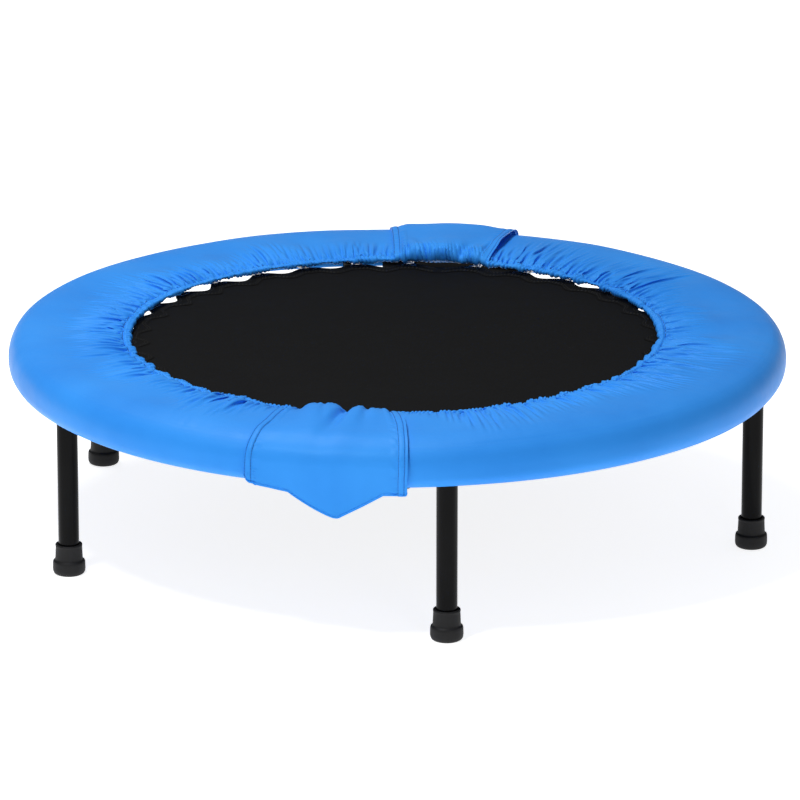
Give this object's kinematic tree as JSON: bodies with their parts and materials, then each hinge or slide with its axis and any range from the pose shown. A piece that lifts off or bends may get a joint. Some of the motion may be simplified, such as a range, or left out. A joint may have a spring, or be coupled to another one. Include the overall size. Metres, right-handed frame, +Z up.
{
  "type": "mini trampoline",
  "caption": "Folding round mini trampoline with a black jumping mat on coil springs, a gathered blue padded cover, hinge brackets, and screw-on legs with rubber feet.",
  "frame": {"origin": "on the floor under the centre of the ring", "axes": "+Z up, the fold line along Y, -Y the front"},
  "size_m": [0.96, 0.9654, 0.2507],
  "materials": {
    "painted_steel": "gloss black powder coat",
    "zinc_steel": "bright zinc plating",
    "foot_rubber": "matte moulded rubber",
    "mat_fabric": "tight black polypropylene weave",
    "vinyl_blue": "satin coated blue fabric over foam"
  },
  "bodies": {
    "left_frame": {"frame_half_left": "painted_steel", "mat_left": "mat_fabric", "cover_left": "vinyl_blue", "spring_left_01": "zinc_steel", "spring_left_02": "zinc_steel", "spring_left_03": "zinc_steel", "spring_left_04": "zinc_steel", "spring_left_05": "zinc_steel", "spring_left_06": "zinc_steel", "spring_left_07": "zinc_steel", "spring_left_08": "zinc_steel", "spring_left_09": "zinc_steel", "spring_left_10": "zinc_steel", "spring_left_11": "zinc_steel", "spring_left_12": "zinc_steel", "spring_left_13": "zinc_steel", "spring_left_14": "zinc_steel", "spring_left_15": "zinc_steel", "spring_left_16": "zinc_steel"},
    "hinge_brackets": {"hinge_bracket_front": "painted_steel", "hinge_bracket_rear": "painted_steel", "hinge_bolt_front_left": "zinc_steel", "hinge_bolt_front_right": "zinc_steel", "hinge_bolt_rear_left": "zinc_steel", "hinge_bolt_rear_right": "zinc_steel", "mat_fold": "mat_fabric", "cover_flap_front": "vinyl_blue", "cover_flap_rear": "vinyl_blue"},
    "right_frame": {"frame_half_right": "painted_steel", "mat_right": "mat_fabric", "cover_right": "vinyl_blue", "spring_right_01": "zinc_steel", "spring_right_02": "zinc_steel", "spring_right_03": "zinc_steel", "spring_right_04": "zinc_steel", "spring_right_05": "zinc_steel", "spring_right_06": "zinc_steel", "spring_right_07": "zinc_steel", "spring_right_08": "zinc_steel", "spring_right_09": "zinc_steel", "spring_right_10": "zinc_steel", "spring_right_11": "zinc_steel", "spring_right_12": "zinc_steel", "spring_right_13": "zinc_steel", "spring_right_14": "zinc_steel", "spring_right_15": "zinc_steel", "spring_right_16": "zinc_steel"},
    "leg_front": {"leg_tube_front": "painted_steel", "foot_front": "foot_rubber"},
    "leg_right": {"leg_tube_right": "painted_steel", "foot_right": "foot_rubber"},
    "leg_rear_right": {"leg_tube_rear_right": "painted_steel", "foot_rear_right": "foot_rubber"},
    "leg_rear_left": {"leg_tube_rear_left": "painted_steel", "foot_rear_left": "foot_rubber"},
    "leg_left": {"leg_tube_left": "painted_steel", "foot_left": "foot_rubber"},
    "leg_front_left": {"leg_tube_front_left": "painted_steel", "foot_front_left": "foot_rubber"}
  },
  "joints": [
    {"name": "left_fold", "type": "hinge", "parent": "hinge_brackets", "child": "left_frame", "pos_m": [-0.03, 0, 0.23], "axis": [0, 1, 0], "range_deg": [0, 90], "deforming": ["cover_flap_front", "cover_flap_rear"]},
    {"name": "right_fold", "type": "hinge", "parent": "hinge_brackets", "child": "right_frame", "pos_m": [0.03, 0, 0.23], "axis": [0, -1, 0], "range_deg": [0, 90]},
    {"name": "leg_front_unscrew", "type": "slide", "parent": "right_frame", "child": "leg_front", "axis": [0, 0, -1], "range_m": [0, 0.028]},
    {"name": "leg_right_unscrew", "type": "slide", "parent": "right_frame", "child": "leg_right", "axis": [0, 0, -1], "range_m": [0, 0.028]},
    {"name": "leg_rear_right_unscrew", "type": "slide", "parent": "right_frame", "child": "leg_rear_right", "axis": [0, 0, -1], "range_m": [0, 0.028]},
    {"name": "leg_rear_left_unscrew", "type": "slide", "parent": "left_frame", "child": "leg_rear_left", "axis": [0, 0, -1], "range_m": [0, 0.028]},
    {"name": "leg_left_unscrew", "type": "slide", "parent": "left_frame", "child": "leg_left", "axis": [0, 0, -1], "range_m": [0, 0.028]},
    {"name": "leg_front_left_unscrew", "type": "slide", "parent": "left_frame", "child": "leg_front_left", "axis": [0, 0, -1], "range_m": [0, 0.028]}
  ],
  "couplings": [
    {"joint": "right_fold", "follows": "left_fold", "ratio": 1}
  ]
}
